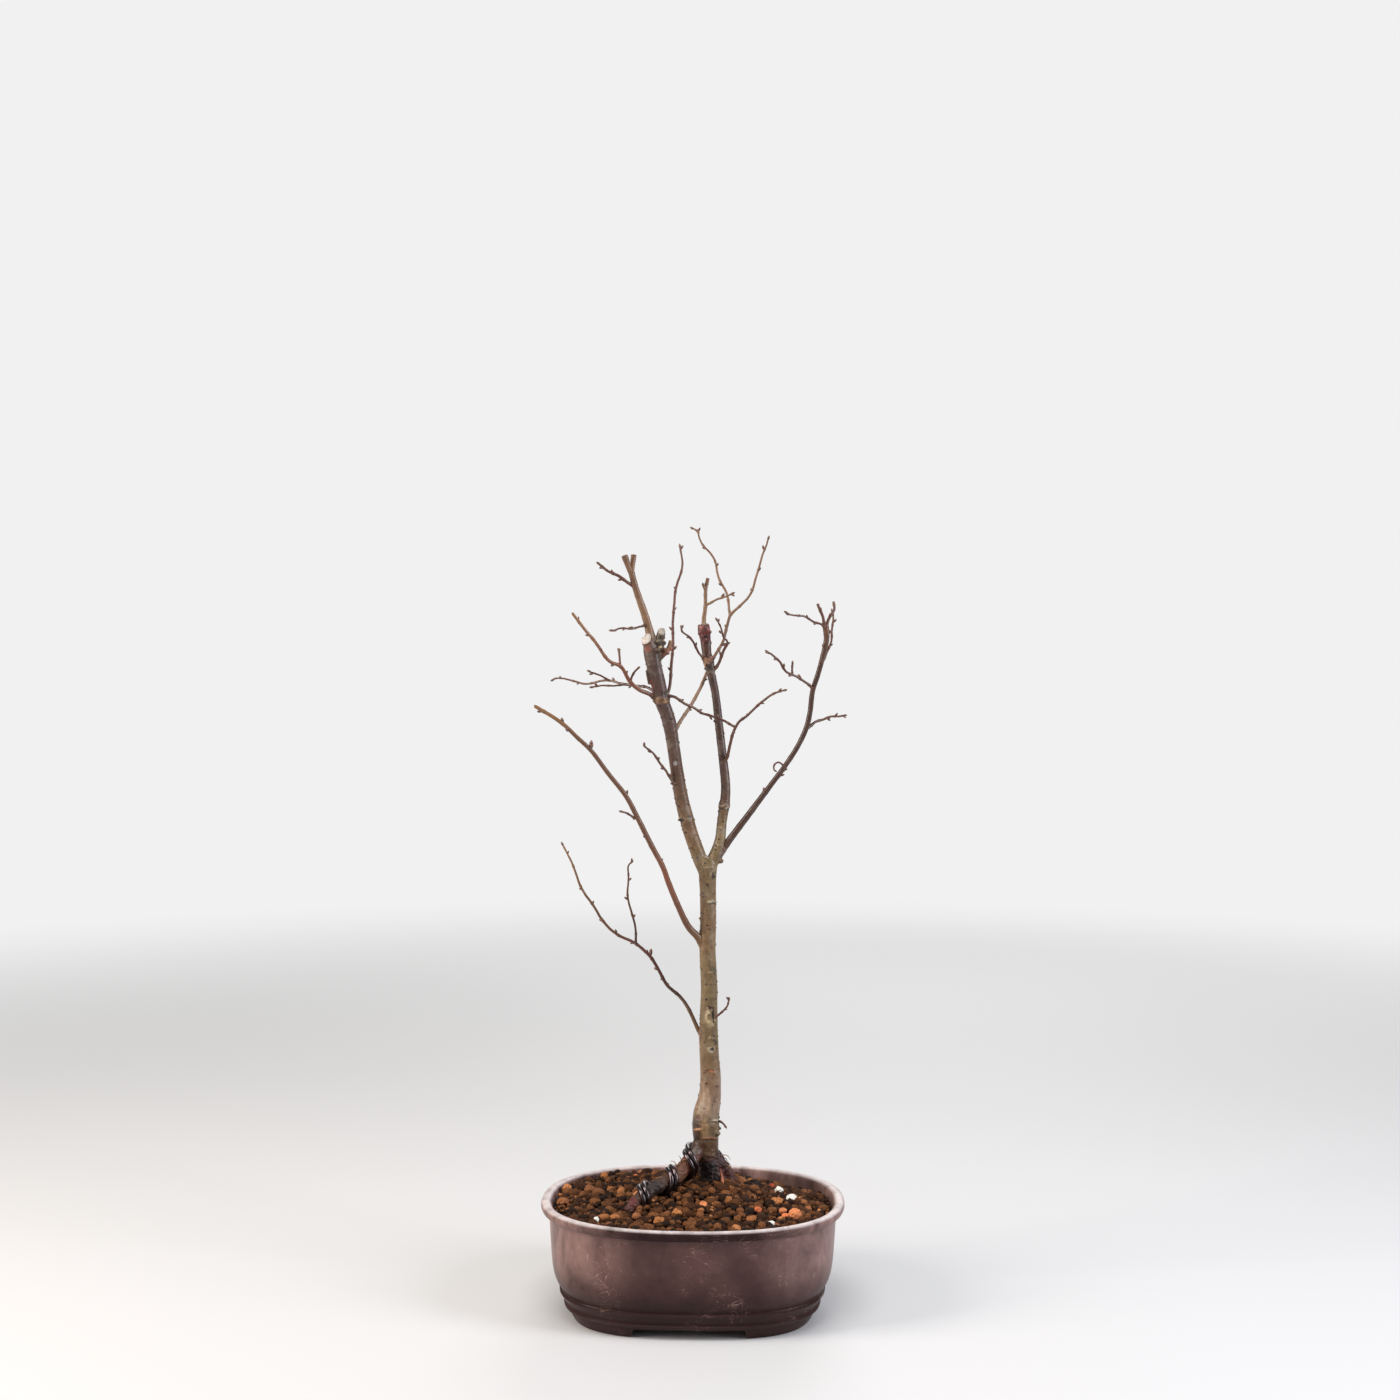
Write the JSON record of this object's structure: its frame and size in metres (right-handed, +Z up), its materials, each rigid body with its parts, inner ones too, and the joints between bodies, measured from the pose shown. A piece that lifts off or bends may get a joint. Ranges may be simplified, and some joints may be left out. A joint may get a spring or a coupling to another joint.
{
  "type": "japanese zelkova bonsai",
  "caption": "Leafless winter tree with a slim forked trunk and fine twigs, one wired surface root, in a filled oval training pot.",
  "frame": {"origin": "on the surface it stands on, under the middle of the pot", "axes": "+Z up along the trunk, +X to the right as the tree's front is seen, +Y to its back"},
  "size_m": [0.2173, 0.1582, 0.5469],
  "materials": {
    "pot": "moulded purple-brown plastic, satin, with worn scuffs",
    "soil": "granular baked clay and pumice, moist, matt",
    "bark": "living smooth grey-brown bark with lenticels",
    "wire": "dark anodised aluminium training wire, glossy",
    "drain_mesh": "moulded plastic mesh, matt"
  },
  "bodies": {
    "root": {"pot": "pot", "soil": "soil", "tree": "bark", "root_wire_1": "wire", "root_wire_2": "wire", "drain_mesh_left": "drain_mesh", "drain_mesh_right": "drain_mesh"}
  },
  "joints": []
}
